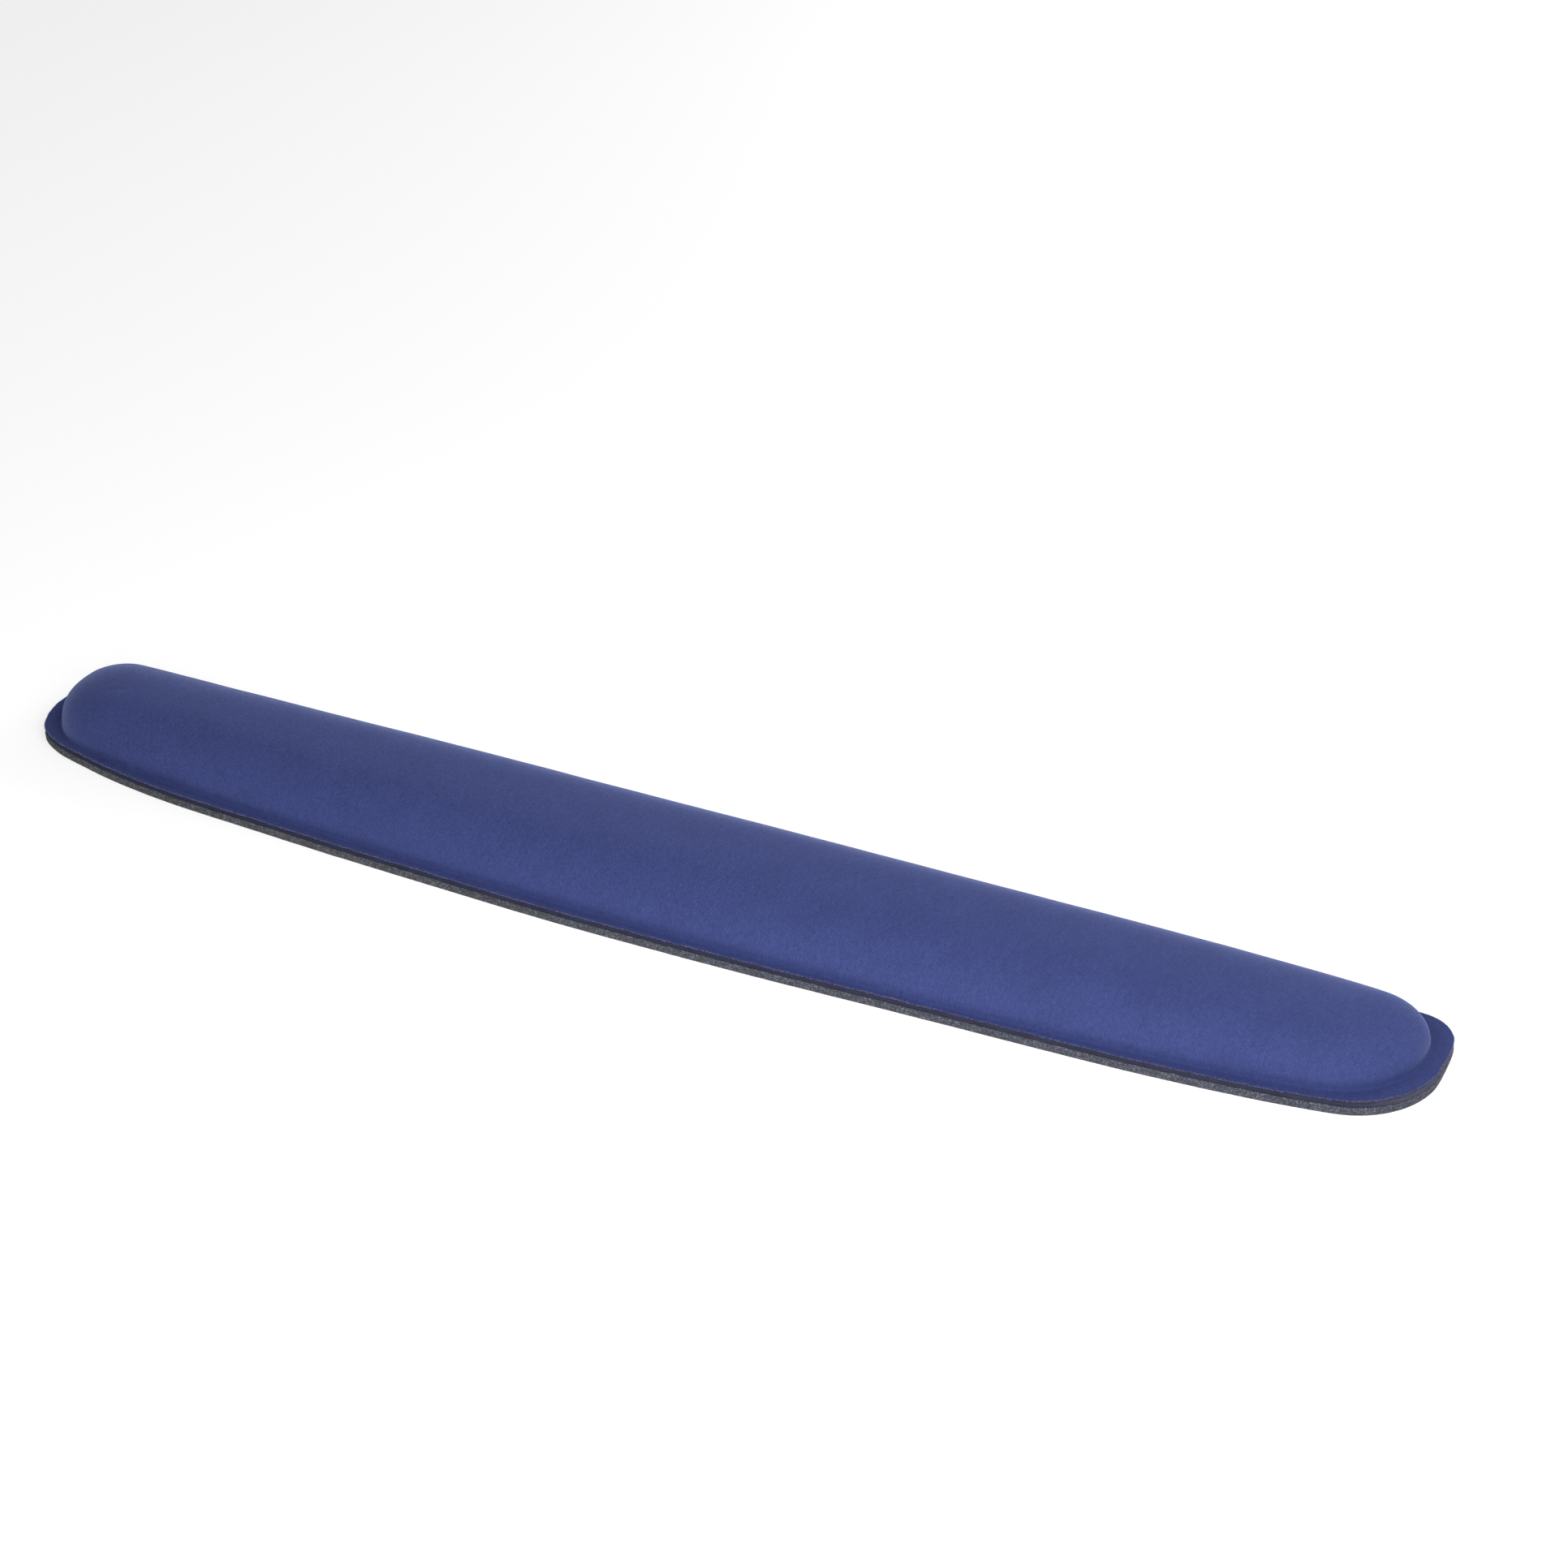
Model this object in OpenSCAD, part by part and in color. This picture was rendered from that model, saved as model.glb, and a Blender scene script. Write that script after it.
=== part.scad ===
// Keyboard wrist rest: a moulded foam cushion under a knitted cover, on a
// carrier sheet and a sponge-rubber base. The layers are glued face to face.
// Origin: centre of the base's underside. +X runs along the length, +Y points
// to the straighter edge that meets the keyboard, +Z is up.

/* [Overall] */
// Length of the base, end to end
base_l = 452; // [420:2:480]
// Depth of the base, from the middle of the front edge to the back edge
base_d = 62; // [56:1:70]
// Height of the whole rest
total_h = 19.5; // [17:0.5:26]

/* [Base outline] */
// Radius of the middle stretch of the bowed front edge
front_mid_r = 2300; // [1800:50:2600]
// Distance from the centre at which the front edge starts to turn in faster
front_mid_x = 140; // [100:5:160]
// Radius of the outer stretches of the front edge
front_end_r = 600; // [500:50:1600]
// Radius of the back edge, which is almost straight
back_r = 11500; // [6000:500:20000]
// Radius of the front corners
front_corner_r = 26.5; // [20:0.5:28]
// Radius of the back corners
back_corner_r = 11.5; // [8:0.5:16]

/* [Layers] */
// Thickness of the sponge-rubber base
sponge_t = 2.4; // [1.5:0.1:4]
// Thickness of the carrier sheet
carrier_t = 1.35; // [0.8:0.05:2]
// Thickness of each adhesive film
film_t = 0.1; // [0.1:0.05:0.3]
// Thickness of the knitted cover
knit_t = 0.6; // [0.4:0.1:1]

/* [Cushion] */
// Width of the flat rim at the two ends
rim_end = 5.4; // [4:0.1:8]
// Width of the flat rim along the front and back edges
rim_side = 3.2; // [2:0.1:5]
// Radius of the cushion's front corners
dome_front_r = 27; // [18:1:28]
// Radius of the cushion's back corners
dome_back_r = 14; // [10:1:18]
// Fullness of the cushion's cross-section, where 2 is an ellipse
fullness = 2.25; // [2:0.05:3]

/* [Hidden] */
long_steps = 8;      // segments in each long arc, from the middle to a corner
corner_steps = 8;    // segments in each corner
dome_rings = 9;      // rings from the foot of the cushion to its crown
crown_angle = 78;    // profile angle at which the crown's flat top starts
carrier_z = sponge_t + film_t;
rim_z = carrier_z + carrier_t + film_t;
core_h = total_h - rim_z - knit_t;
knit_blue = [0.27, 0.31, 0.53];

// Points of an arc about c from angle a0 to a1, without its last point
function arc(c, r, a0, a1, n) =
    [for (k = [0 : n - 1]) let (a = a0 + (a1 - a0) * k / n) c + r * [cos(a), sin(a)]];

// Right half of the outline, from the middle of the back to the middle of
// the front. grow moves the whole edge out, so the arcs stay concentric.
function half_outline(end_x, back_y, front_y, corner_b, corner_f, grow) =
    let (
        x_end = end_x + grow,
        rb = corner_b + grow,
        rf = corner_f + grow,
        back_c = [0, back_y - back_r],
        corner_b_x = x_end - rb,
        corner_b_c = [corner_b_x, back_c.y + sqrt(pow(back_r - corner_b, 2) - pow(corner_b_x, 2))],
        mid_c = [0, front_y + front_mid_r],
        turn = asin(front_mid_x / front_mid_r),
        end_c = mid_c + (front_mid_r - front_end_r) * [sin(turn), -cos(turn)],
        corner_f_x = x_end - rf,
        corner_f_c = [corner_f_x,
            end_c.y - sqrt(pow(front_end_r - corner_f, 2) - pow(corner_f_x - end_c.x, 2))],
        back_a = atan2(corner_b_c.y - back_c.y, corner_b_x),
        front_a = atan2(corner_f_c.y - end_c.y, corner_f_x - end_c.x)
    )
    concat(
        arc(back_c, back_r + grow, 90, back_a, long_steps),
        arc(corner_b_c, rb, back_a, 0, corner_steps),
        arc(corner_f_c, rf, 0, front_a, corner_steps),
        arc(end_c, front_end_r + grow, front_a, turn - 90, long_steps),
        arc(mid_c, front_mid_r + grow, turn - 90, -90, long_steps),
        [[0, front_y - grow]]
    );

// Whole outline: the right half, then its mirror image without the two middle points
function outline(end_x, back_y, front_y, corner_b, corner_f, grow = 0) =
    let (half = half_outline(end_x, back_y, front_y, corner_b, corner_f, grow), n = len(half))
    concat(half, [for (k = [n - 2 : -1 : 1]) [-half[k].x, half[k].y]]);

function base_outline() =
    outline(base_l / 2, base_d / 2, -base_d / 2, back_corner_r, front_corner_r);

// Foot of the cushion, moved out by grow for the cover that lies over it
function dome_outline(grow = 0) =
    outline(base_l / 2 - rim_end, base_d / 2 - rim_side, -base_d / 2 + rim_side,
        dome_back_r, dome_front_r, grow);

function at_z(points, z) = [for (p = points) [p.x, p.y, z]];

// Rings of the cushion: each foot point is drawn in towards the centre line
// while the ring rises along a superellipse
function dome(foot_z, height, grow) =
    let (
        foot = dome_outline(grow),
        spine_x = base_l / 2 - rim_end - base_d / 2 + rim_side,
        lift = pow(sin(crown_angle), 2 / fullness)
    )
    [for (k = [0 : dome_rings])
        let (
            a = crown_angle * k / dome_rings,
            s = pow(cos(a), 2 / fullness),
            z = foot_z + height * pow(sin(a), 2 / fullness) / lift
        )
        [for (p = foot) let (c = [max(-spine_x, min(spine_x, p.x)), 0]) concat(c + s * (p - c), z)]
    ];

function turned(rings) = [for (k = [len(rings) - 1 : -1 : 0]) rings[k]];

// Closed solid through rings of equal size. Every four-sided patch is cut
// from the lower ring to the upper one the same way, so that two layers
// that share a surface meet facet to facet.
module loft(rings) {
    n = len(rings[0]);
    last = (len(rings) - 1) * n;
    sides = [for (k = [0 : len(rings) - 2], i = [0 : n - 1])
        let (
            j = (i + 1) % n,
            a = k * n + i, b = k * n + j, c = (k + 1) * n + j, d = (k + 1) * n + i,
            falls = rings[k + 1][0].z < rings[k][0].z
        )
        each falls ? [[a, b, d], [b, c, d]] : [[a, b, c], [a, c, d]]];
    polyhedron(
        points = [for (ring = rings, p = ring) p],
        faces = concat(
            [[for (i = [n - 1 : -1 : 0]) i]],
            sides,
            [[for (i = [0 : n - 1]) last + i]]
        )
    );
}

// One flat layer of the stack, cut to the base's outline
module layer(z, thickness) {
    translate([0, 0, z])
        linear_extrude(thickness)
            polygon(base_outline());
}

module sponge_base() {
    color([0.31, 0.33, 0.35]) layer(0, sponge_t);
}

module base_adhesive() {
    color([0.16, 0.16, 0.17]) layer(sponge_t, film_t);
}

module carrier_sheet() {
    color([0.19, 0.19, 0.24]) layer(carrier_z, carrier_t);
}

module cover_adhesive() {
    color([0.85, 0.84, 0.78]) layer(carrier_z + carrier_t, film_t);
}

module foam_core() {
    color([0.93, 0.9, 0.78]) loft(dome(rim_z, core_h, 0));
}

// The cover is one skin: the inside of the cushion's shell, the rim's
// underside, edge and top, and the outside of the shell
module knit_cover() {
    color(knit_blue) loft(concat(
        turned(dome(rim_z, core_h, 0)),
        [at_z(base_outline(), rim_z), at_z(base_outline(), rim_z + knit_t)],
        dome(rim_z + knit_t, core_h, knit_t)
    ));
}

sponge_base();
base_adhesive();
carrier_sheet();
cover_adhesive();
foam_core();
knit_cover();
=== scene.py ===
import math

import bmesh
import bpy
import numpy as np
from mathutils import Matrix, Vector, noise


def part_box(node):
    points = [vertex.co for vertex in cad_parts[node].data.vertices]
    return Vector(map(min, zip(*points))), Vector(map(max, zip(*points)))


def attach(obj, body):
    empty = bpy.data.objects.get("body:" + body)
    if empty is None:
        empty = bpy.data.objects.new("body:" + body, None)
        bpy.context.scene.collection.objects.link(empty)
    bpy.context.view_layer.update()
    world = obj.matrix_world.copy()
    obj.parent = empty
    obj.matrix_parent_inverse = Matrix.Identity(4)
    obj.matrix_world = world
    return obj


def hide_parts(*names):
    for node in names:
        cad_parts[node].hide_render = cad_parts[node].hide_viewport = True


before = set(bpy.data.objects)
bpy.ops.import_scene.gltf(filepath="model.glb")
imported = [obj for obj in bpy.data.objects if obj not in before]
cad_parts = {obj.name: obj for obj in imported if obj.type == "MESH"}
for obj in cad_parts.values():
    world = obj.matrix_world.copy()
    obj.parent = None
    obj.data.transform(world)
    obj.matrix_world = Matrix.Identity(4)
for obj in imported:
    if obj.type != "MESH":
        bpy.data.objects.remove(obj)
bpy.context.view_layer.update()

mm = 0.001
scene = bpy.context.scene
scene.view_settings.view_transform = "Standard"

# heights of the stack, read from the frame
spongeLow, spongeHigh = (p.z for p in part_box("sponge_base"))
carrierLow, carrierHigh = (p.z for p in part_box("carrier_sheet"))
rimLow, crest = (p.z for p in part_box("knit_cover"))
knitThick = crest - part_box("foam_core")[1].z
rimHigh = rimLow + knitThick
print("stack heights", spongeHigh, carrierHigh, rimHigh, crest)


def cadRing(node, z):
    # the frame's own outline of a node at one height, anticlockwise
    points = np.array([v.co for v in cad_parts[node].data.vertices])
    ring = np.unique(np.round(points[np.abs(points[:, 2] - z) < 1e-6][:, :2], 7), axis=0)
    return ring[np.argsort(np.arctan2(ring[:, 1], ring[:, 0]))]


def knotGap(p, q):
    # the centripetal spacing between two rows of points
    return np.sqrt(np.linalg.norm(q - p, axis=1))[:, None]


def smoothRing(ring, perSpan=12):
    # centripetal Catmull-Rom through the outline's points, so that the facets go
    a, b, c, d = (np.roll(ring, k, axis=0) for k in (1, 0, -1, -2))
    t1 = knotGap(a, b)
    t2 = t1 + knotGap(b, c)
    t3 = t2 + knotGap(c, d)
    out = []
    for share in np.arange(perSpan) / perSpan:
        t = t1 + (t2 - t1) * share
        p = a * (t1 - t) / t1 + b * t / t1
        q = b * (t2 - t) / (t2 - t1) + c * (t - t1) / (t2 - t1)
        r = c * (t3 - t) / (t3 - t2) + d * (t - t2) / (t3 - t2)
        u = p * (t2 - t) / t2 + q * t / t2
        v = q * (t3 - t) / (t3 - t1) + r * (t - t1) / (t3 - t1)
        out.append(u * (t2 - t) / (t2 - t1) + v * (t - t1) / (t2 - t1))
    return np.stack(out, axis=1).reshape(-1, 2)


# where the die's cut strays from the drawn outline, in mm: the spot's x and y, how far out, over what length
cutStray = [
    (-220, -11, 0.6, 4), (-206, -18, -1.1, 9), (-167, -25, 0.8, 18), (-108, -28, 0.27, 22),
    (-27, -31, 0.42, 24), (88, -28, -0.95, 33), (192, -22, 0.6, 20),
]


def strayed(ring):
    # the outline moved along its own normal at each of those spots
    along = np.roll(ring, -1, axis=0) - np.roll(ring, 1, axis=0)
    out = np.stack([along[:, 1], -along[:, 0]], axis=1) / np.linalg.norm(along, axis=1)[:, None]
    far = np.zeros(len(ring))
    for x, y, offset, length in cutStray:
        gap = np.linalg.norm(ring * 1000 - (x, y), axis=1)
        far += offset * mm * np.exp(-0.5 * (gap / length) ** 2)
    return ring + out * far[:, None]


baseRing = strayed(smoothRing(cadRing("carrier_sheet", carrierHigh)))
footRing = smoothRing(cadRing("foam_core", rimLow))
spineEnd = footRing[:, 0].max() - (footRing[:, 1].max() - footRing[:, 1].min()) / 2


def rays(step):
    # straight out to the front and back along the middle, and fanned round each end
    across = np.linspace(-spineEnd, spineEnd, round(2 * spineEnd / step) + 1)
    fan = np.linspace(-90, 90, round(0.11 / step) + 1)[1:-1]
    still = np.full(len(fan), spineEnd)
    x = np.concatenate([across, still, -across, -still])
    turn = np.radians(np.concatenate([across * 0 - 90, fan, across * 0 + 90, fan + 180]))
    share, wide = np.linspace(0, 1, len(across)), np.linspace(1, 2, len(fan) + 2)[1:-1]
    lap = np.concatenate([share, wide, share + 2, wide + 2])
    return np.stack([x, x * 0], axis=1), np.stack([np.cos(turn), np.sin(turn)], axis=1), lap


def reach(ring, start, way):
    # how far each ray runs before it meets the outline
    out = np.zeros(len(start))
    for k, (s, w) in enumerate(zip(start, way)):
        rel = ring - s
        side = rel[:, 0] * w[1] - rel[:, 1] * w[0]
        ahead = rel @ w
        nextSide, nextAhead = np.roll(side, -1), np.roll(ahead, -1)
        cross = np.flatnonzero((side <= 0) != (nextSide <= 0))
        share = side[cross] / (side[cross] - nextSide[cross])
        hit = ahead[cross] + share * (nextAhead[cross] - ahead[cross])
        out[k] = hit.max()
    return out


def ringPoints(start, way, r, z):
    # one ring of points at distance r along the rays and at height z
    flat = start + way * (np.ones(len(start)) * r)[:, None]
    return np.concatenate([flat, (np.ones(len(start)) * z)[:, None]], axis=1)


def lumps(points, size, seed):
    # smooth noise between about -1 and 1, with lumps of that size
    shift = Vector((seed * 17.3, seed * 5.1, seed * 9.7))
    values = [noise.noise(Vector(p) / size + shift) for p in points.reshape(-1, 3)]
    return np.array(values).reshape(points.shape[:-1])


def closedLoft(name, rings, start, uv=None, paint=None):
    # a closed skin through rings of points, from one spine ring to another; rays that start together
    # share a point, and paint holds a number for each point by name, for a material to read
    rings = np.array(rings, float)
    count, around = rings.shape[:2]
    index = np.arange(count * around).reshape(count, around)
    first, same = np.unique(np.round(start[:, 0], 7), return_index=True, return_inverse=True)[1:]
    for k in (0, count - 1):
        total = np.zeros((len(first), 3))
        np.add.at(total, same, rings[k])
        rings[k] = (total / np.bincount(same)[:, None])[same]
        index[k] = index[k][first][same]
    side = np.roll(index, -1, axis=1)
    quads = np.stack([index[:-1], index[1:], side[1:], side[:-1]], axis=-1).reshape(-1, 4)
    mesh = bpy.data.meshes.new(name)
    mesh.from_pydata(rings.reshape(-1, 3).tolist(), [], [tuple(dict.fromkeys(q)) for q in quads.tolist()])
    if uv is not None:
        corner = np.zeros(len(mesh.loops), np.int32)
        mesh.loops.foreach_get("vertex_index", corner)
        mesh.uv_layers.new(name="cloth").data.foreach_set("uv", uv.reshape(-1, 2)[corner].ravel())
    for label, values in (paint or {}).items():
        layer = mesh.attributes.new(label, "FLOAT", "POINT")
        layer.data.foreach_set("value", values.astype(np.float32).ravel())
    shape = bmesh.new()
    shape.from_mesh(mesh)
    bmesh.ops.delete(shape, geom=[v for v in shape.verts if not v.link_faces], context="VERTS")
    bmesh.ops.recalc_face_normals(shape, faces=shape.faces)
    for face in shape.faces:
        face.smooth = True
    shape.to_mesh(mesh)
    shape.free()
    made = bpy.data.objects.new(name, mesh)
    scene.collection.objects.link(made)
    return made


def link(tree, a, b):
    tree.links.new(a, b)


def add(tree, kind, **values):
    # a node with settings by attribute, and inputs given as in_Name or in_0
    made = tree.nodes.new(kind)
    for key, value in values.items():
        if not key.startswith("in_"):
            setattr(made, key, value)
    for key, value in values.items():
        if key.startswith("in_"):
            name = key[3:].replace("_", " ")
            socket = made.inputs[int(name)] if name.isdigit() else made.inputs[name]
            if isinstance(value, bpy.types.NodeSocket):
                tree.links.new(value, socket)
            else:
                socket.default_value = value
    return made


def maths(tree, operation, a, b=0.0, c=0.0):
    return add(tree, "ShaderNodeMath", operation=operation, in_0=a, in_1=b, in_2=c).outputs[0]


def group(name, inputs, outputs):
    # an empty shader node group with named sockets
    tree = bpy.data.node_groups.new(name, "ShaderNodeTree")
    for label, kind, value in inputs:
        socket = tree.interface.new_socket(label, in_out="INPUT", socket_type=kind)
        if value is not None:
            socket.default_value = value
    for label, kind in outputs:
        tree.interface.new_socket(label, in_out="OUTPUT", socket_type=kind)
    return tree, tree.nodes.new("NodeGroupInput"), tree.nodes.new("NodeGroupOutput")


def place(tree, shared, **values):
    made = tree.nodes.new("ShaderNodeGroup")
    made.node_tree = shared
    for key, value in values.items():
        socket = made.inputs[key.replace("_", " ")]
        if isinstance(value, bpy.types.NodeSocket):
            tree.links.new(value, socket)
        else:
            socket.default_value = value
    return made


number, vector = "NodeSocketFloat", "NodeSocketVector"


def makeMottle():
    # slow drift of tone over a surface: a factor round 1
    tree, given, out = group(
        "mottle",
        [("Position", vector, None), ("Size", number, 20.0), ("Strength", number, 0.1)],
        [("Factor", number)],
    )
    scale = maths(tree, "DIVIDE", 1.0, given.outputs["Size"])
    wide = add(tree, "ShaderNodeTexNoise", in_Vector=given.outputs["Position"], in_Scale=scale, in_Detail=2.0)
    centred = maths(tree, "SUBTRACT", wide.outputs["Fac"], 0.5)
    drift = maths(tree, "MULTIPLY", centred, given.outputs["Strength"])
    link(tree, maths(tree, "ADD", maths(tree, "MULTIPLY", drift, 2.0), 1.0), out.inputs["Factor"])
    return tree


def makeCells():
    # open cells of foam or sponge: pits, the walls between them, and pale and dark grains
    tree, given, out = group(
        "openCells",
        [("Position", vector, None), ("Size", number, 0.5)],
        [("Height", number), ("Pale", number), ("Dark", number)],
    )
    scale = maths(tree, "DIVIDE", 1.0, given.outputs["Size"])
    walls = add(tree, "ShaderNodeTexVoronoi", in_Vector=given.outputs["Position"], in_Scale=scale)
    fine = add(tree, "ShaderNodeTexNoise", in_Vector=given.outputs["Position"], in_Scale=scale, in_Detail=3.0)
    grain = add(tree, "ShaderNodeSeparateColor", in_Color=walls.outputs["Color"])
    pit = add(tree, "ShaderNodeMapRange", in_Value=walls.outputs["Distance"], in_From_Min=0.1,
              in_From_Max=0.6)
    rough = maths(tree, "MULTIPLY_ADD", fine.outputs["Fac"], 0.6, pit.outputs[0])
    link(tree, rough, out.inputs["Height"])
    pale = add(tree, "ShaderNodeMapRange", in_Value=grain.outputs[0], in_From_Min=0.62, in_From_Max=0.9)
    dark = add(tree, "ShaderNodeMapRange", in_Value=grain.outputs[1], in_From_Min=0.6, in_From_Max=0.85)
    link(tree, pale.outputs[0], out.inputs["Pale"])
    link(tree, dark.outputs[0], out.inputs["Dark"])
    return tree


def makeStitches():
    # plain jersey, face side, from a map in millimetres: ribs of V-shaped stitches with a gap between ribs
    tree, given, out = group(
        "jerseyStitches",
        [("Position", vector, None), ("Wale", number, 0.57), ("Course", number, 0.47),
         ("Slant", number, 0.9)],
        [("Height", number), ("Tone", number), ("Streak", number)],
    )
    flat = add(tree, "ShaderNodeSeparateXYZ", in_Vector=given.outputs["Position"])
    wale = maths(tree, "DIVIDE", flat.outputs["X"], given.outputs["Wale"])
    column = maths(tree, "FLOOR", wale)
    sideways = maths(tree, "ABSOLUTE", maths(tree, "SUBTRACT", maths(tree, "FRACT", wale), 0.5))
    lean = maths(tree, "MULTIPLY", sideways, given.outputs["Slant"])
    course = maths(tree, "ADD", maths(tree, "DIVIDE", flat.outputs["Y"], given.outputs["Course"]), lean)
    row = maths(tree, "FLOOR", course)
    along = maths(tree, "SUBTRACT", maths(tree, "FRACT", course), 0.5)
    rib = maths(tree, "SUBTRACT", 1.0, maths(tree, "POWER", maths(tree, "MULTIPLY", sideways, 2.0), 2.2))
    groove = maths(tree, "SUBTRACT", 1.0, maths(tree, "MULTIPLY", sideways, 7.0))
    split = maths(tree, "SUBTRACT", 1.0, maths(tree, "MULTIPLY", maths(tree, "MAXIMUM", groove, 0.0), 0.22))
    bead = maths(tree, "SUBTRACT", 1.0, maths(tree, "MULTIPLY", maths(tree, "MULTIPLY", along, along), 2.2))
    link(tree, maths(tree, "MULTIPLY", maths(tree, "MULTIPLY", rib, split), bead), out.inputs["Height"])
    cell = add(tree, "ShaderNodeCombineXYZ", in_X=column, in_Y=row)
    each = add(tree, "ShaderNodeTexWhiteNoise", noise_dimensions="2D", in_Vector=cell.outputs[0])
    link(tree, each.outputs["Value"], out.inputs["Tone"])
    longWay = maths(tree, "MULTIPLY", flat.outputs["Y"], 0.16)
    run = add(tree, "ShaderNodeCombineXYZ", in_X=column, in_Y=longWay)
    streak = add(tree, "ShaderNodeTexNoise", noise_dimensions="2D", in_Vector=run.outputs[0], in_Scale=1.0,
                 in_Detail=2.0)
    link(tree, streak.outputs["Fac"], out.inputs["Streak"])
    return tree


mottle, cells, stitches = makeMottle(), makeCells(), makeStitches()


def patches(tree, where, size, strength):
    # a factor round 1 that drifts over lumps of that size, in mm
    return place(tree, mottle, Position=where, Size=size, Strength=strength).outputs[0]


def newMaterial(name, roughness, **sockets):
    made = bpy.data.materials.new(name)
    made.use_nodes = True
    tree = made.node_tree
    skin = next(n for n in tree.nodes if n.type == "BSDF_PRINCIPLED")
    skin.inputs["Roughness"].default_value = roughness
    for key, value in sockets.items():
        skin.inputs[key.replace("_", " ")].default_value = value
    return made, tree, skin


def inMillimetres(tree, source):
    return add(tree, "ShaderNodeVectorMath", operation="SCALE", in_0=source, in_Scale=1000.0).outputs[0]


def objectPlace(tree):
    return inMillimetres(tree, add(tree, "ShaderNodeTexCoord").outputs["Object"])


def mixColour(tree, factor, a, b, kind="MIX"):
    made = add(tree, "ShaderNodeMix", data_type="RGBA", blend_type=kind)
    for socket, value in ((made.inputs[0], factor), (made.inputs[6], a), (made.inputs[7], b)):
        if isinstance(value, bpy.types.NodeSocket):
            tree.links.new(value, socket)
        else:
            socket.default_value = value
    return made.outputs[2]


def scaled(tree, colour, factor):
    return add(tree, "ShaderNodeVectorMath", operation="SCALE", in_0=colour, in_Scale=factor).outputs[0]


def bump(tree, skin, height, distance, strength=1.0):
    made = add(tree, "ShaderNodeBump", in_Height=height, in_Distance=distance, in_Strength=strength)
    link(tree, made.outputs[0], skin.inputs["Normal"])


knitLook = {
    "yarn": (0.0440, 0.0580, 0.1740, 1),
    # gap: painted shade between the stitches' ribs, where the grooves fall in shade
    "gap": (0.0245, 0.0335, 0.1090, 1),
    # pressed: the knit pressed flat, and painted shade in the valley where the dome meets the rim
    "pressedShade": (0.0200, 0.0270, 0.0920, 1),
    "backing": (0.0170, 0.0172, 0.0270, 1),
    "wale": 0.57,
    "course": 0.47,
    "stitchDepth": 0.07 * mm,
    "wobbleSize": 33.0,
    "wobble": 0.8,
    "toneSpread": 0.16,
    "streakSpread": 0.24,
    "patches": ((16.0, 0.10), (1.3, 0.16), (0.28, 0.50)),   # slow drift, blotches and fuzz: size, strength
    "roughness": 0.88,
    "specular": 0.04,
    "sheen": 0.38,
    "sheenRoughness": 0.3,
    "sheenTint": (0.46, 0.55, 1.0, 1),
}


def knitMaterial():
    look = knitLook
    made, tree, skin = newMaterial(
        "blueJerseyKnit", look["roughness"], Specular_IOR_Level=look["specular"], Sheen_Weight=look["sheen"],
        Sheen_Roughness=look["sheenRoughness"], Sheen_Tint=look["sheenTint"],
    )
    flat = inMillimetres(tree, add(tree, "ShaderNodeUVMap", uv_map="cloth").outputs[0])
    wobble = add(tree, "ShaderNodeTexNoise", in_Vector=flat, in_Scale=1 / look["wobbleSize"], in_Detail=1.0)
    bent = add(tree, "ShaderNodeVectorMath", operation="MULTIPLY_ADD", in_0=wobble.outputs["Color"],
               in_1=(look["wobble"], look["wobble"], 0.0), in_2=flat)
    knit = place(tree, stitches, Position=bent.outputs[0], Wale=look["wale"], Course=look["course"])
    pressedShade = add(tree, "ShaderNodeAttribute", attribute_name="pressedShade").outputs["Fac"]
    backing = add(tree, "ShaderNodeAttribute", attribute_name="backing").outputs["Fac"]
    # the gap colour paints shade into the grooves between the stitches
    yarn = mixColour(tree, knit.outputs["Height"], look["gap"], look["yarn"])
    # pressed knit is mixed darker: flattened pile, and painted shade in the valley and on the rim
    flatAndShaded = maths(tree, "MULTIPLY", pressedShade, 0.75)
    yarn = mixColour(tree, flatAndShaded, yarn, look["pressedShade"])
    tone = maths(tree, "MULTIPLY_ADD", knit.outputs["Tone"], look["toneSpread"], 1 - look["toneSpread"] / 2)
    spread = look["streakSpread"]
    streak = maths(tree, "MULTIPLY_ADD", knit.outputs["Streak"], spread, 1 - spread / 2)
    tone = maths(tree, "MULTIPLY", tone, streak)
    for size, strength in look["patches"]:
        tone = maths(tree, "MULTIPLY", tone, patches(tree, flat, size, strength))
    colour = mixColour(tree, backing, scaled(tree, yarn, tone), look["backing"])
    link(tree, colour, skin.inputs["Base Color"])
    level = maths(tree, "SUBTRACT", 1.0, maths(tree, "MULTIPLY", flatAndShaded, 0.8))
    bump(tree, skin, maths(tree, "MULTIPLY", knit.outputs["Height"], level), look["stitchDepth"])
    return made


paintedLightTurn = 120.0   # mm either side of the middle over which the bands' painted light turns from the shaded -X end to the lit +X end


def endToEnd(tree, where):
    # the place along X, and a share that turns from 0 towards -X to 1 towards +X
    flat = add(tree, "ShaderNodeSeparateXYZ", in_Vector=where)
    along = flat.outputs["X"]
    turned = add(tree, "ShaderNodeMapRange", in_Value=along, in_From_Min=-paintedLightTurn, in_From_Max=paintedLightTurn)
    return along, turned.outputs[0]


spongeLook = {
    # left and right: painted light, the rubber lighter and bluer towards the +X end, where the light falls
    "left": (0.054, 0.056, 0.062, 1),
    "right": (0.056, 0.060, 0.082, 1),
    "pale": (0.150, 0.157, 0.188, 1),
    "dark": (0.020, 0.020, 0.027, 1),
    "cell": 0.30,
    "pit": 0.10 * mm,
    "slow": (6.0, 0.22),       # patches of tone: size in mm and strength
    "fine": (1.2, 0.3),
}


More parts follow.
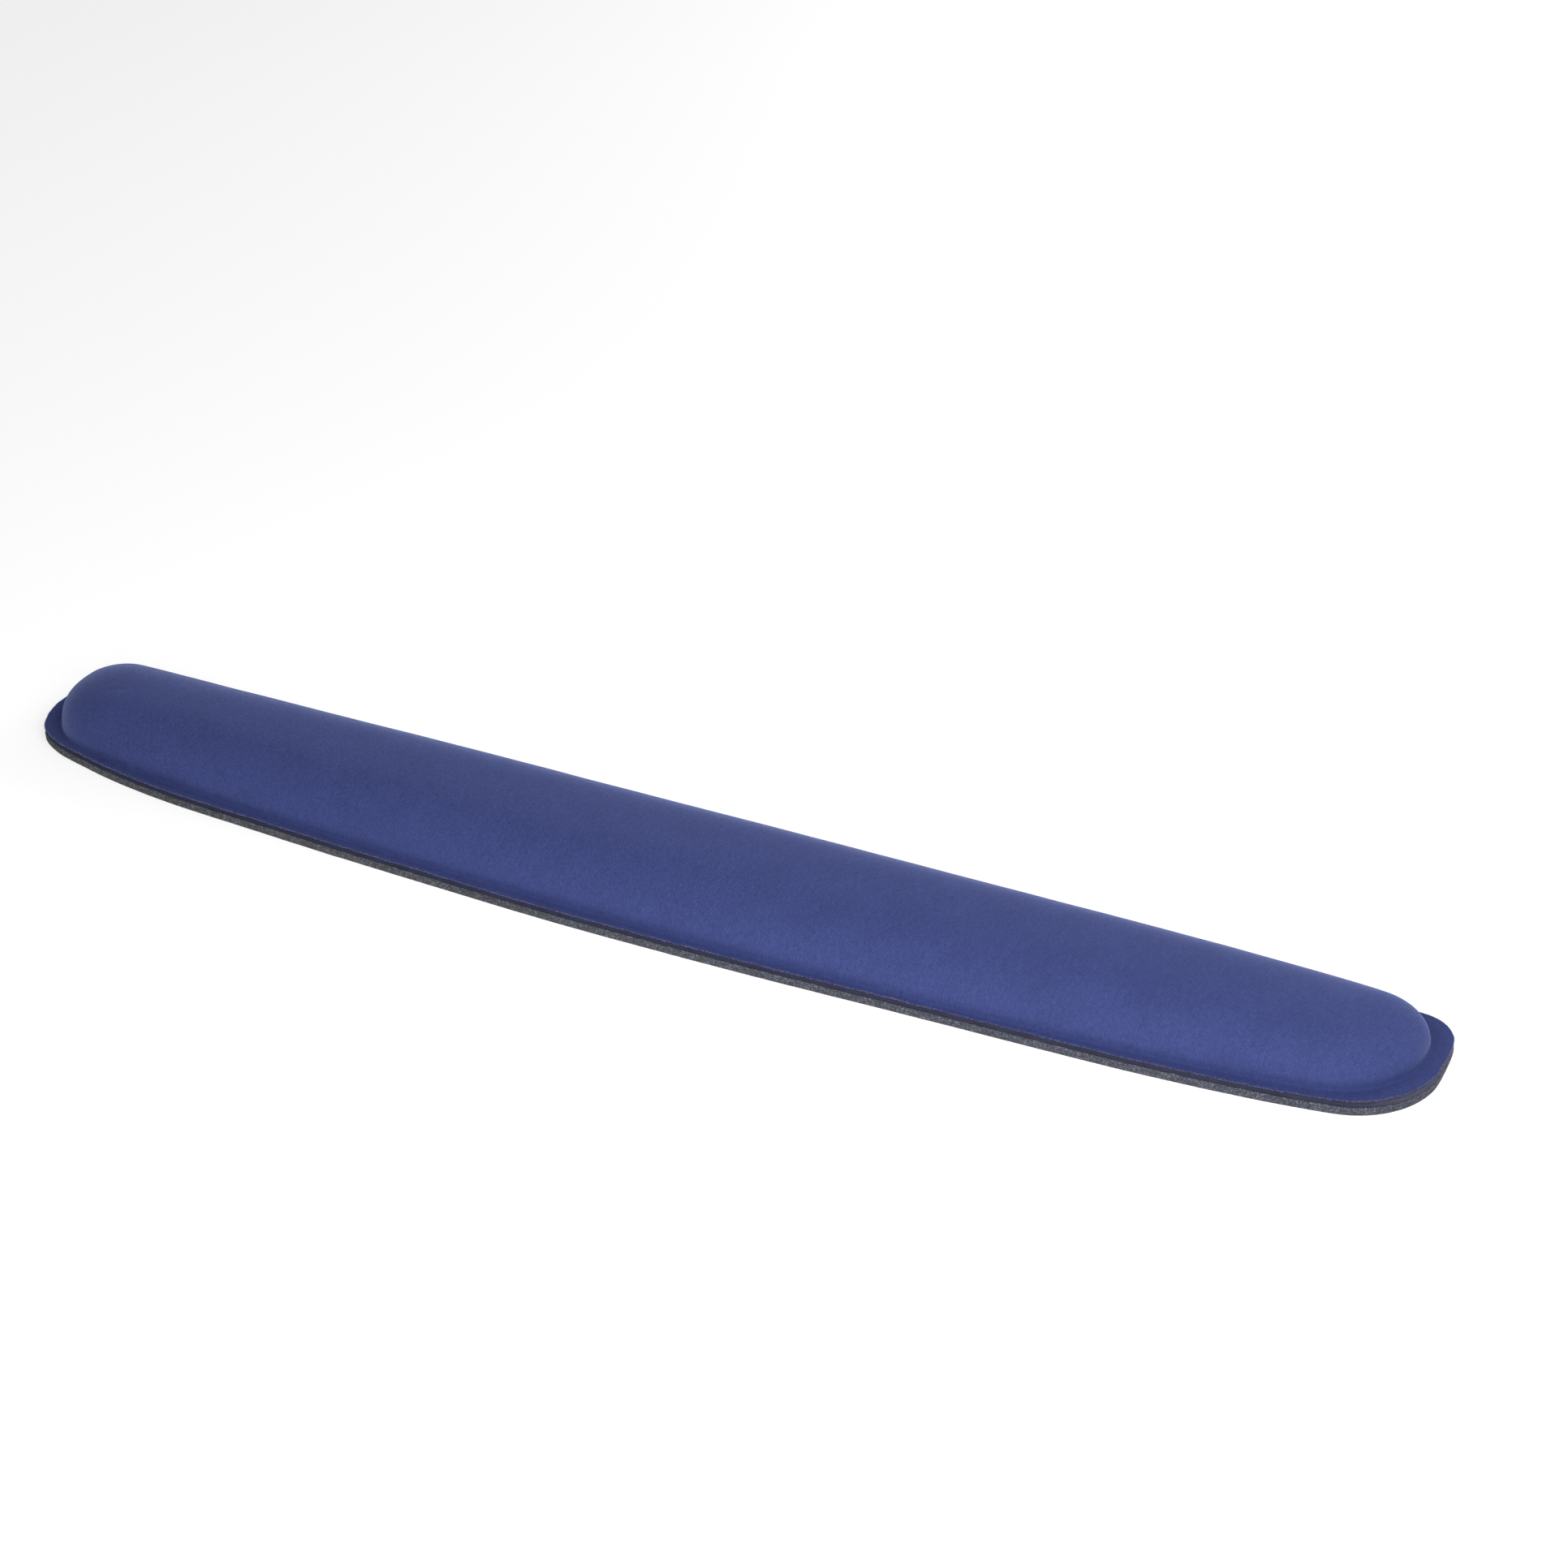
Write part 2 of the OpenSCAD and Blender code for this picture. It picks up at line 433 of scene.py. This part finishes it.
def spongeMaterial():
    look = spongeLook
    made, tree, skin = newMaterial("spongeRubber", 0.9, Specular_IOR_Level=0.25)
    where = objectPlace(tree)
    pores = place(tree, cells, Position=where, Size=look["cell"])
    fine = place(tree, cells, Position=where, Size=look["cell"] * 0.55)
    # painted light: the rubber's colour turns lighter towards the lit +X end
    litRubber = mixColour(tree, endToEnd(tree, where)[1], look["left"], look["right"])
    colour = mixColour(tree, pores.outputs["Pale"], litRubber, look["pale"])
    colour = mixColour(tree, fine.outputs["Dark"], colour, look["dark"])
    tone = maths(tree, "MULTIPLY", patches(tree, where, *look["slow"]), patches(tree, where, *look["fine"]))
    link(tree, scaled(tree, colour, tone), skin.inputs["Base Color"])
    bump(tree, skin, fine.outputs["Height"], look["pit"])
    return made


carrierLook = {
    # left and right: painted light, the band a little lighter towards the lit +X end
    "left": (0.0180, 0.0190, 0.0420, 1),
    "right": (0.0215, 0.0225, 0.0430, 1),
    "end": (0.0500, 0.0510, 0.0850, 1),   # painted light: paler where the +X end faces the light, round where the knit is cut short and the band shows
    "litEndFrom": 209.0,
    "litEndTo": 223.0,
    "slow": (5.0, 0.3),        # patches of tone: size in mm and strength
    "fine": (0.35, 0.35),
    "relief": 0.08 * mm,
}


def carrierMaterial():
    look = carrierLook
    made, tree, skin = newMaterial("carrierSheet", 0.85, Specular_IOR_Level=0.08)
    where = objectPlace(tree)
    along, side = endToEnd(tree, where)
    # painted light: the band turns lighter along X and paler still at the lit +X end
    end = add(tree, "ShaderNodeMapRange", in_Value=along, in_From_Min=look["litEndFrom"],
              in_From_Max=look["litEndTo"])
    colour = mixColour(tree, side, look["left"], look["right"])
    colour = mixColour(tree, end.outputs[0], colour, look["end"])
    slow, fine = patches(tree, where, *look["slow"]), patches(tree, where, *look["fine"])
    tone = maths(tree, "MULTIPLY", slow, fine)
    link(tree, scaled(tree, colour, tone), skin.inputs["Base Color"])
    bump(tree, skin, fine, look["relief"])
    return made


plainLook = {
    "film": (0.045, 0.045, 0.050),
    "foam": (0.78, 0.70, 0.48, 1),
    "foamPore": (0.55, 0.47, 0.30, 1),
    "yarnEnd": (0.210, 0.205, 0.370),
    "floor": (0.42, 0.42, 0.42),
    "floorGlow": 0.6,
}


def filmMaterial():
    made, tree, skin = newMaterial("adhesiveFilm", 0.4)
    where = objectPlace(tree)
    slow = patches(tree, where, 3.0, 0.4)
    link(tree, scaled(tree, plainLook["film"], slow), skin.inputs["Base Color"])
    bump(tree, skin, slow, 0.03 * mm)
    return made


def foamMaterial():
    made, tree, skin = newMaterial("mouldedFoam", 0.85)
    where = objectPlace(tree)
    pores = place(tree, cells, Position=where, Size=0.9)
    colour = mixColour(tree, pores.outputs["Dark"], plainLook["foam"], plainLook["foamPore"])
    link(tree, scaled(tree, colour, patches(tree, where, 30.0, 0.12)), skin.inputs["Base Color"])
    bump(tree, skin, pores.outputs["Height"], 0.2 * mm)
    return made


def fibreMaterial():
    made, tree, skin = newMaterial("cutYarnEnds", 0.8, Sheen_Weight=0.3)
    where = objectPlace(tree)
    each = patches(tree, where, 0.8, 0.35)
    link(tree, scaled(tree, plainLook["yarnEnd"], each), skin.inputs["Base Color"])
    return made


def floorMaterial():
    made, tree, skin = newMaterial("paleFloor", 0.7, Specular_IOR_Level=0.2, Emission_Color=(1, 1, 1, 1),
                                   Emission_Strength=plainLook["floorGlow"])
    where = objectPlace(tree)
    slow = patches(tree, where, 400.0, 0.01)
    link(tree, scaled(tree, plainLook["floor"], slow), skin.inputs["Base Color"])
    return made


print("materials")
knitBlue, spongeGrey, carrierDark = knitMaterial(), spongeMaterial(), carrierMaterial()
filmDark, foamCream, fibreLilac = filmMaterial(), foamMaterial(), fibreMaterial()


cushion = {
    "fullness": 2.55,          # of the cross-section before it swells, where 2 is an ellipse
    "swellRoom": 0.72 * mm,    # how much lower it starts
    "slump": 0.21,             # the fill is lower at the very +X end
    "slumpPower": 9.0,
    "endPull": 0.5 * mm,       # and its foot stops this much short there
    "swellCap": 0.7 * mm,      # how far the simulated cloth may move
    "unevenness": 0.16 * mm,   # slow lumps in the foam
    "unevenSize": 42 * mm,
    "step": 0.95 * mm,
    "rings": 32,
    "clearance": 0.04 * mm,    # between the foam and the cloth over it
}


def domeProfile(rings):
    # (share of the reach, share of the height) from the crown down to the foot, evenly spaced
    angle = np.radians(np.linspace(90, 0, 400))
    power = 2 / cushion["fullness"]
    across, up = np.cos(angle) ** power, np.sin(angle) ** power
    across[0], up[-1] = 0, 0
    halfDepth = (footRing[:, 1].max() - footRing[:, 1].min()) / 2
    length = np.hypot(np.diff(across) * halfDepth, np.diff(up) * (crest - rimHigh))
    run = np.concatenate([[0], np.cumsum(length)])
    even = np.linspace(0, run[-1], rings)
    return np.interp(even, run, across), np.interp(even, run, up)


def domeGrid(start, way, foot, profile, low, high):
    # points of the dome, rings by rays, with the lower fill at one end
    across, up = profile
    flat = start[None] + way[None] * (across[:, None] * foot[None])[..., None]
    end = np.clip(flat[..., 0] / footRing[:, 0].max(), 0, 1)
    fill = 1 - cushion["slump"] * end ** cushion["slumpPower"]
    height = low + (high - cushion["swellRoom"] - low) * up[:, None] * fill
    return np.concatenate([flat, height[..., None]], axis=2)


swellCloth = {
    "step": 5 * mm,            # between the points of the coarse copy
    "rings": 10,
    "heldTo": 0.1 * mm,        # points up to this far above the rim's underside stay put
    "quality": 8,
    "mass": 0.2,
    "stretch": 18,
    "shear": 8,
    "bend": 0.8,
    "pressure": 4,
    "frames": 20,
}


def swell():
    # blows a coarse core up with cloth pressure, its foot held, and returns each point's move, capped
    fit = swellCloth
    start, way, lap = rays(fit["step"])
    foot = reach(footRing, start, way)
    grid = domeGrid(start, way, foot, domeProfile(fit["rings"]), rimLow, crest - knitThick)
    under = [ringPoints(start, way, foot * 0.5, rimLow), ringPoints(start, way, 0, rimLow)]
    trial = closedLoft("swellTrial", [*grid, *under], start)
    held = trial.vertex_groups.new(name="held")
    low = [v.index for v in trial.data.vertices if v.co.z < rimLow + fit["heldTo"]]
    held.add(low, 1, "REPLACE")
    cloth = trial.modifiers.new("swell", "CLOTH")
    settings = cloth.settings
    settings.quality = fit["quality"]
    settings.mass = fit["mass"]
    settings.tension_stiffness = settings.compression_stiffness = fit["stretch"]
    settings.shear_stiffness = fit["shear"]
    settings.bending_stiffness = fit["bend"]
    settings.use_pressure = True
    settings.uniform_pressure_force = fit["pressure"]
    settings.vertex_group_mass = "held"
    settings.effector_weights.gravity = 0
    for frameNumber in range(1, fit["frames"] + 1):
        scene.frame_set(frameNumber)
    seen = trial.evaluated_get(bpy.context.evaluated_depsgraph_get())
    rest = np.array([v.co for v in trial.data.vertices])
    moved = np.array([v.co for v in seen.data.vertices]) - rest
    scene.frame_set(1)
    nearest = ((grid.reshape(-1, 1, 3) - rest[None]) ** 2).sum(2).argmin(1)
    drift = moved[nearest].reshape(grid.shape)
    size = np.linalg.norm(drift, axis=2, keepdims=True)
    print("swell moved up to", round(float(size.max() * 1000), 2), "mm")
    bpy.data.objects.remove(trial)
    return drift * cushion["swellCap"] * np.tanh(size / cushion["swellCap"]) / np.maximum(size, 1e-9), lap


def finer(field, lapFrom, rows, lapTo):
    # a coarse grid of moves spread over a finer one, then blurred until no facet shows
    at = np.linspace(0, 1, rows)
    coarse = np.linspace(0, 1, len(field))
    out = np.zeros((rows, len(lapTo), 3))
    for axis in range(3):
        wide = np.stack([np.interp(lapTo, lapFrom, row, period=4) for row in field[..., axis]])
        out[..., axis] = np.stack([np.interp(at, coarse, column) for column in wide.T], axis=1)
    for _ in range(3):
        out = sum(np.roll(out, k, axis=1) for k in range(-3, 4)) / 7
        padded = np.concatenate([out[:1], out, out[-1:]])
        out[1:-1] = (padded[:-2] + padded[1:-1] + padded[2:])[1:-1] / 3
    return out


start, way, lap = rays(cushion["step"])
baseReach, footReach = reach(baseRing, start, way), reach(footRing, start, way)
towardEnd = np.clip((start[:, 0] + way[:, 0] * footReach) / footRing[:, 0].max(), 0, 1)
footReach = footReach - cushion["endPull"] * towardEnd ** cushion["slumpPower"]
print("rays", len(start), "spine end", round(spineEnd * 1000, 1))
profile = domeProfile(cushion["rings"])
coreGrid = domeGrid(start, way, footReach, profile, rimLow, crest - knitThick)
drift = finer(*swell(), cushion["rings"], lap)
outward = coreGrid - np.concatenate([start, start[:, :1] * 0 + rimLow - 30 * mm], axis=1)[None]
outward /= np.linalg.norm(outward, axis=2, keepdims=True)
bulge = lumps(coreGrid, cushion["unevenSize"], 1) + 0.4 * lumps(coreGrid, cushion["unevenSize"] / 3, 2)
settle = np.clip(np.linspace(1, 0, cushion["rings"]) * 4, 0, 1)[:, None, None]
drift = (drift + outward * bulge[..., None] * cushion["unevenness"]) * settle


def makeCore():
    gap = cushion["clearance"]
    dome = domeGrid(start, way, footReach - gap, profile, rimLow, crest - knitThick - gap) + drift
    under = [ringPoints(start, way, footReach * share, rimLow) for share in (0.97, 0.5, 0)]
    core = closedLoft("foam_cushion", [*dome, *under], start)
    core.data.materials.append(foamCream)
    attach(core, "root")
    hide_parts("foam_core")
    return core


coverFit = {
    "valley": 1.0 * mm,        # radius of the hollow where the dome meets the rim
    "edgeBack": 0.06 * mm,     # the cloth's cut edge sits this far inside the base's
    "edgeWander": 0.10 * mm,
    "wanderSize": 7 * mm,
    "edgeNick": 0.16 * mm,     # short nicks in the cut edge
    "nickSize": 2.2 * mm,
    "rimWave": 0.07 * mm,
    "waveSize": 9 * mm,
    "edgeDip": 0.16 * mm,      # how far the rim bows down towards its cut edge
    "backingShare": 0.72,      # below this share of the cloth's thickness its backing shows
    "backingFade": 0.14 * mm,
    "shortBy": 0.8 * mm,       # the cloth is cut this much shorter round one spot of the +X end
    "shortAt": (222 * mm, -12 * mm),
    "shortOver": 14 * mm,
    "pressedShadeTo": 3.2 * mm,     # the knit is pressed flat and painted darker, as painted shade in the valley, up to this far above the rim
    "edgeShadeRelief": (0.75, 0.45),  # and less so towards its cut edge, at the -X end and at the +X end; the +X end's rim keeps more of the painted shade
    "skew": 0.035,             # how far the ribs slant from front to back, at the middle
    "skewFade": 0.28,          # and how that changes along the rest, per metre
    "endStretch": 1.0,         # the ribs open out towards the ends, per metre beyond stretchFrom
    "stretchFrom": 150 * mm,
    "flatCut": (0.084, 0.472),
    "flatArea": 0.0362,
}


def makeCover():
    fit = coverFit
    outer = domeGrid(start, way, footReach + knitThick, profile, rimHigh, crest) + drift
    hollow = fit["valley"]
    walls = [ring for ring in outer if ring[:, 2].min() > rimHigh + hollow * 1.15]
    foot = footReach + knitThick
    cut = ringPoints(start, way, baseReach, 0)
    wander = fit["edgeWander"] * lumps(cut, fit["wanderSize"], 3)
    wander += fit["edgeNick"] * lumps(cut, fit["nickSize"], 5)
    fromSpot = np.linalg.norm(cut[:, :2] - fit["shortAt"], axis=1) / fit["shortOver"]
    edge = baseReach - fit["edgeBack"] + wander - fit["shortBy"] * np.exp(-0.5 * fromSpot ** 2)
    wave = fit["rimWave"] * lumps(cut, fit["waveSize"], 4)
    rounds = []
    for angle in np.radians(np.linspace(0, 90, 6)):
        r = foot * 0.998 + hollow * (1 - math.cos(angle))
        z = rimHigh + hollow * (1 - math.sin(angle))
        rounds.append(ringPoints(start, way, np.minimum(r, edge - 0.5 * mm), z + wave * math.sin(angle)))
    flatFrom = np.linalg.norm(rounds[-1][:, :2] - start, axis=1)
    rim = []
    for share in (0.35, 0.7, 0.92):
        dip = fit["edgeDip"] * share ** 3
        rim.append(ringPoints(start, way, flatFrom + (edge - flatFrom) * share, rimHigh + wave - dip))
    thick = rimHigh - rimLow
    for back, up in ((0.05, 0.8), (0.0, 0.66), (0.02, 0.4), (0.08, 0.0)):
        rim.append(ringPoints(start, way, edge - back * mm, rimLow + thick * up + wave * up))
    inner = [ringPoints(start, way, (edge + footReach) / 2, rimLow)]
    core = domeGrid(start, way, footReach, profile, rimLow, crest - knitThick) + drift
    skin = np.array([*walls, *rounds, *rim, *inner, *core[:0:-2], core[0]])
    step = np.linalg.norm(np.diff(skin, axis=0), axis=2)
    run = np.concatenate([np.zeros((1, len(start))), np.cumsum(step, axis=0)])
    outerCount = len(walls) + len(rounds) + len(rim)
    run[outerCount:] = run[-1] - run[outerCount:]
    uv = start[None] + way[None] * run[..., None]
    beyond = np.maximum(np.abs(uv[..., 0]) - fit["stretchFrom"], 0)
    slant = uv[..., 1] * (fit["skew"] - fit["skewFade"] * uv[..., 0])
    uv[..., 0] += slant - np.sign(uv[..., 0]) * fit["endStretch"] * beyond ** 2
    height = skin[..., 2]
    beyondFoot = (np.linalg.norm(skin[..., :2] - start, axis=2) - foot) / (edge - foot)
    # painted shade, with the pressed pile: darker down into the valley at the dome's foot and on the rim,
    # most at the +X end
    pressedShade = np.clip(1 - (height - rimHigh) / fit["pressedShadeTo"], 0, 1) ** 1.5
    relief = np.interp(skin[..., 0], (-spineEnd, spineEnd), fit["edgeShadeRelief"])
    pressedShade *= 1 - relief * np.clip(beyondFoot, 0, 1)
    backing = np.clip((rimLow + knitThick * fit["backingShare"] - height) / fit["backingFade"], 0, 1)
    paint = {"pressedShade": pressedShade, "backing": backing}
    cover = closedLoft("knit_skin", skin, start, uv.astype(np.float32), paint)
    longest = round(float(run[outerCount - 1].max() * 1000), 1)
    print("cover", len(cover.data.polygons), "faces; longest run from the spine", longest, "mm")
    cover.data.materials.append(knitBlue)
    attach(cover, "root")
    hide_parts("knit_cover")
    return cover, edge


def makeSlab(name, node, material, low, high, fit):
    # a flat layer cut to the outline: its edge wanders, leans and is as coarse as its stuff
    ways = rays(fit["step"])
    begin, out = ways[0], ways[1]
    full = reach(baseRing, begin, out) + fit["reach"]
    middle = ringPoints(begin, out, full, (low + high) / 2)
    full = full + fit["wander"] * lumps(middle, 8 * mm, fit["seed"])
    slab = [ringPoints(begin, out, full * share, high) for share in (0, 0.5, 0.9)]
    slab.append(ringPoints(begin, out, full - fit["lean"] - fit["corner"] * 2, high))
    for share in np.linspace(1, 0, fit["rows"]):
        edge = abs(share - 0.5) * 2
        r = full - fit["lean"] * share - fit["corner"] * edge ** 4
        z = low + (high - low) * share
        ring = ringPoints(begin, out, r, z)
        grain = lumps(ring, fit["grainSize"], fit["seed"] + 1)
        grain = grain + 0.6 * lumps(ring, fit["grainSize"] * 2.7, fit["seed"] + 2)
        inside = 1 - (edge > 0.99) * 0.5
        ring[:, :2] += out * (grain * fit["grain"] * inside)[:, None]
        if share > 0.99:
            ring[:, 2] += fit["curl"] * np.clip(lumps(ring, 2.5 * mm, fit["seed"] + 3) + 0.2, 0, 1)
        slab.append(ring)
    slab.append(ringPoints(begin, out, full - fit["corner"] * 3, low))
    slab += [ringPoints(begin, out, full * share, low) for share in (0.9, 0.5, 0)]
    made = closedLoft(name, slab, begin)
    made.data.materials.append(material)
    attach(made, "root")
    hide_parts(node)
    print(name, len(made.data.polygons), "faces")
    return made


spongeFit = {
    "step": 0.45 * mm, "rows": 9, "reach": 0.0, "wander": 0.06 * mm, "lean": 0.0, "corner": 0.12 * mm,
    "grain": 0.08 * mm, "grainSize": 0.6 * mm, "curl": 0.35 * mm, "seed": 11,
}
carrierFit = {
    "step": 1.0 * mm, "rows": 6, "reach": -0.10 * mm, "wander": 0.06 * mm, "lean": 0.10 * mm,
    "corner": 0.08 * mm, "grain": 0.04 * mm, "grainSize": 1.6 * mm, "curl": 0.0, "seed": 21,
}
filmFit = {
    "step": 2.0 * mm, "rows": 3, "reach": -0.25 * mm, "wander": 0.10 * mm, "lean": 0.0, "corner": 0.02 * mm,
    "grain": 0.02 * mm, "grainSize": 2 * mm, "curl": 0.0, "seed": 31,
}
coverFilmFit = dict(filmFit, reach=-0.6 * mm, seed=41)


yarnFit = {
    "spacing": 0.16 * mm,
    "length": 0.24 * mm,
    "radius": 0.03 * mm,
    "spread": 0.6,
    "jitter": 0.16 * mm,
    "outward": 0.4,
    "droop": 0.7,
    "bend": 0.3,               # how far each end bows, as a share of its length
}


def fibreTree():
    # short bent yarn ends, one every spacing along a closed path, hanging out and down from it
    tree = bpy.data.node_groups.new("yarnEnds", "GeometryNodeTree")
    tree.interface.new_socket("Path", in_out="INPUT", socket_type="NodeSocketGeometry")
    for label in ("Spacing", "Length", "Radius", "Spread"):
        tree.interface.new_socket(label, in_out="INPUT", socket_type="NodeSocketFloat")
    tree.interface.new_socket("Stuff", in_out="INPUT", socket_type="NodeSocketMaterial")
    tree.interface.new_socket("Ends", in_out="OUTPUT", socket_type="NodeSocketGeometry")
    given, out = tree.nodes.new("NodeGroupInput"), tree.nodes.new("NodeGroupOutput")
    path = add(tree, "GeometryNodeMeshToCurve", in_Mesh=given.outputs["Path"])
    spaced = add(tree, "GeometryNodeCurveToPoints", mode="LENGTH", in_Curve=path.outputs[0],
                 in_Length=given.outputs["Spacing"])
    jitter = add(tree, "FunctionNodeRandomValue", data_type="FLOAT_VECTOR", in_Min=(-1, -1, -1),
                 in_Max=(1, 1, 1), in_Seed=3)
    shift = add(tree, "ShaderNodeVectorMath", operation="SCALE", in_0=jitter.outputs[0],
                in_Scale=yarnFit["jitter"])
    points = add(tree, "GeometryNodeSetPosition", in_Geometry=spaced.outputs[0], in_Offset=shift.outputs[0])
    away = add(tree, "ShaderNodeVectorMath", operation="CROSS_PRODUCT", in_0=spaced.outputs["Tangent"],
               in_1=(0, 0, 1))
    loose = add(tree, "FunctionNodeRandomValue", data_type="FLOAT_VECTOR", in_Min=(-1, -1, -1),
                in_Max=(1, 1, 1), in_Seed=8)
    loose = add(tree, "ShaderNodeVectorMath", operation="SCALE", in_0=loose.outputs[0],
                in_Scale=given.outputs["Spread"])
    droop = add(tree, "ShaderNodeVectorMath", operation="MULTIPLY_ADD", in_0=away.outputs[0],
                in_1=(yarnFit["outward"],) * 3, in_2=(0, 0, -yarnFit["droop"]))
    aim = add(tree, "ShaderNodeVectorMath", operation="ADD", in_0=droop.outputs[0], in_1=loose.outputs[0])
    turn = add(tree, "FunctionNodeAlignRotationToVector", axis="Z", in_Vector=aim.outputs[0])
    half = maths(tree, "MULTIPLY", given.outputs["Length"], 0.5)
    sideways = maths(tree, "MULTIPLY", given.outputs["Length"], yarnFit["bend"])
    bend = add(tree, "ShaderNodeCombineXYZ", in_X=sideways, in_Z=half)
    tip = add(tree, "ShaderNodeCombineXYZ", in_Z=given.outputs["Length"])
    line = add(tree, "GeometryNodeCurveQuadraticBezier", in_Resolution=4, in_Start=(0, 0, 0),
               in_Middle=bend.outputs[0], in_End=tip.outputs[0])
    section = add(tree, "GeometryNodeCurvePrimitiveCircle", in_Resolution=3,
                  in_Radius=given.outputs["Radius"])
    fibre = add(tree, "GeometryNodeCurveToMesh", in_Curve=line.outputs[0],
                in_Profile_Curve=section.outputs[0], in_Fill_Caps=True)
    size = add(tree, "FunctionNodeRandomValue", data_type="FLOAT", in_Seed=5)
    size.inputs[2].default_value, size.inputs[3].default_value = 0.35, 1.25
    many = add(tree, "GeometryNodeInstanceOnPoints", in_Points=points.outputs[0],
               in_Instance=fibre.outputs[0], in_Rotation=turn.outputs[0], in_Scale=size.outputs[1])
    real = add(tree, "GeometryNodeRealizeInstances", in_Geometry=many.outputs[0])
    done = add(tree, "GeometryNodeSetMaterial", in_Geometry=real.outputs[0],
               in_Material=given.outputs["Stuff"])
    link(tree, done.outputs[0], out.inputs["Ends"])
    return tree


def grown(name, path, tree, **values):
    # the tree's result on a mesh, as a plain mesh of its own
    holder = bpy.data.objects.new(name + "Path", path)
    scene.collection.objects.link(holder)
    grow = holder.modifiers.new("grow", "NODES")
    grow.node_group = tree
    for item in tree.interface.items_tree:
        if item.in_out == "INPUT" and item.name in values:
            grow[item.identifier] = values[item.name]
    seen = holder.evaluated_get(bpy.context.evaluated_depsgraph_get())
    mesh = bpy.data.meshes.new_from_object(seen)
    holder.modifiers.remove(grow)
    bpy.data.objects.remove(holder)
    made = bpy.data.objects.new(name, mesh)
    mesh.name = name
    scene.collection.objects.link(made)
    return made


def makeYarnEnds(edge):
    path = bpy.data.meshes.new("cutLine")
    line = ringPoints(start, way, edge + 0.01 * mm, rimLow + knitThick * 0.75)
    count = len(line)
    path.from_pydata(line.tolist(), [(k, (k + 1) % count) for k in range(count)], [])
    fit = yarnFit
    ends = grown("cut_yarn_ends", path, fibreTree(), Spacing=fit["spacing"], Length=fit["length"],
                 Radius=fit["radius"], Spread=fit["spread"], Stuff=fibreLilac)
    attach(ends, "root")
    print("yarn ends", len(ends.data.polygons), "faces")


print("pieces")
makeSlab("sponge_slab", "sponge_base", spongeGrey, spongeLow, spongeHigh, spongeFit)
makeSlab("base_bond", "base_adhesive", filmDark, spongeHigh, carrierLow, filmFit)
makeSlab("carrier_slab", "carrier_sheet", carrierDark, carrierLow, carrierHigh, carrierFit)
makeSlab("cover_bond", "cover_adhesive", filmDark, carrierHigh, rimLow, coverFilmFit)
makeCore()
cover, cutEdge = makeCover()
makeYarnEnds(cutEdge)


def makeFloor():
    mesh = bpy.data.meshes.new("floor")
    wide = 20   # metres each way; its far edge still shows in a low view
    corners = [(-wide, -wide, 0), (wide, -wide, 0), (wide, wide, 0), (-wide, wide, 0)]
    mesh.from_pydata(corners, [], [(0, 1, 2, 3)])
    floor = bpy.data.objects.new("floor", mesh)
    scene.collection.objects.link(floor)
    mesh.materials.append(floorMaterial())


# soft panels aimed at the middle: turn from +X, height angle, distance, size, power;
# the directions and powers come from a least-squares fit of one-light test renders
panels = {
    "endLow": (-25, 18, 1.2, 0.6, 1.76),
    "endHigh": (-25, 68, 1.2, 0.6, 1.58),
    "frontRight": (-45, 35, 0.55, 0.35, 1.59),
    "front": (-75, 35, 0.55, 0.35, 2.01),
    "farEnd": (30, 18, 1.2, 0.6, 1.34),
    "backRight": (60, 18, 1.2, 0.6, 7.0),
    "back": (90, 18, 1.2, 0.6, 2.23),
}
skyStrength = 0.4


def makeLights():
    world = bpy.data.worlds.new("studio")
    scene.world = world
    world.use_nodes = True
    sky = next(n for n in world.node_tree.nodes if n.type == "BACKGROUND")
    sky.inputs[0].default_value = (1, 1, 1, 1)
    sky.inputs[1].default_value = skyStrength
    for name, (turn, rise, far, size, power) in panels.items():
        lamp = bpy.data.lights.new(name, "AREA")
        lamp.shape, lamp.size, lamp.energy = "SQUARE", size, power
        made = bpy.data.objects.new(name, lamp)
        turn, rise = math.radians(turn), math.radians(rise)
        aim = Vector((math.cos(rise) * math.cos(turn), math.cos(rise) * math.sin(turn), math.sin(rise)))
        made.location = aim * far
        made.rotation_euler = aim.to_track_quat("Z", "Y").to_euler()
        scene.collection.objects.link(made)


# where the view is taken from and aimed at, as a fit of the camera gave it
eyeAt = Vector((345.1, -637.3, 467.6)) * mm
lookAt = Vector((2.4, 67.8, 0.0)) * mm
rollDegrees = 0.198
lens = 67.68


def makeCamera():
    camera = bpy.data.cameras.new("camera")
    camera.lens, camera.sensor_width = lens, 36
    camera.clip_start, camera.clip_end = 0.01, 50
    made = bpy.data.objects.new("camera", camera)
    turn = (lookAt - eyeAt).to_track_quat("-Z", "Y").to_matrix().to_4x4()
    made.matrix_world = Matrix.Translation(eyeAt) @ turn @ Matrix.Rotation(math.radians(rollDegrees), 4, "Z")
    scene.collection.objects.link(made)
    scene.camera = made


print("floor, light and camera")
makeFloor()
makeLights()
makeCamera()
